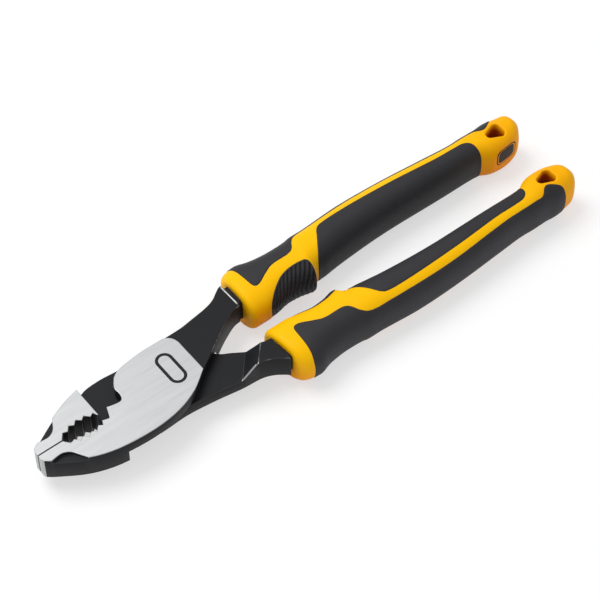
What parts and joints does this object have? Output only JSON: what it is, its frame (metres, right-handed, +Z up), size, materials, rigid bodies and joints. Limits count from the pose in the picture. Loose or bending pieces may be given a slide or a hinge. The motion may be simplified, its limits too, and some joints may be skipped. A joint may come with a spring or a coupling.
{
  "type": "slip joint pliers",
  "caption": "Slip joint combination pliers with a lap-jointed head, toothed pipe grip, shear cutter notch and two-tone moulded grips with hanging holes.",
  "frame": {"origin": "middle of the bounding box's underside, under the grips, with the tool lying flat", "axes": "+X from the nose to the ends of the grips, +Z up out of the ground face of the head, +Y toward the far grip"},
  "size_m": [0.2144, 0.0498, 0.018],
  "materials": {
    "brushed_steel": "fine ground face",
    "black_steel": "black oxide, satin",
    "plain_steel": "plain zinc",
    "yellow_moulding": "satin hard moulding",
    "soft_black": "matt soft moulding",
    "dark_inset": "satin"
  },
  "bodies": {
    "lever_a_body": {"lever_a": "brushed_steel", "pivot_pin": "plain_steel", "pivot_nut": "plain_steel", "grip_core_a": "yellow_moulding", "outer_pad_a": "soft_black", "inner_pad_a": "soft_black", "thumb_pad_a": "soft_black", "end_inset": "dark_inset"},
    "pivot_body": {"pivot_washer": "plain_steel"},
    "lever_b_body": {"lever_b": "black_steel", "grip_core_b": "yellow_moulding", "outer_pad_b": "soft_black", "inner_pad_b": "soft_black", "thumb_pad_b": "soft_black"}
  },
  "joints": [
    {"name": "jaw_pivot", "type": "hinge", "parent": "lever_a_body", "child": "pivot_body", "pos_m": [-0.06045, 0.0021, 0.0106], "axis": [0, 0, -1], "range_deg": [0, 36]},
    {"name": "slip", "type": "slide", "parent": "pivot_body", "child": "lever_b_body", "axis": [-0.6004, 0.7997, 0], "range_m": [0, 0.0055]}
  ]
}
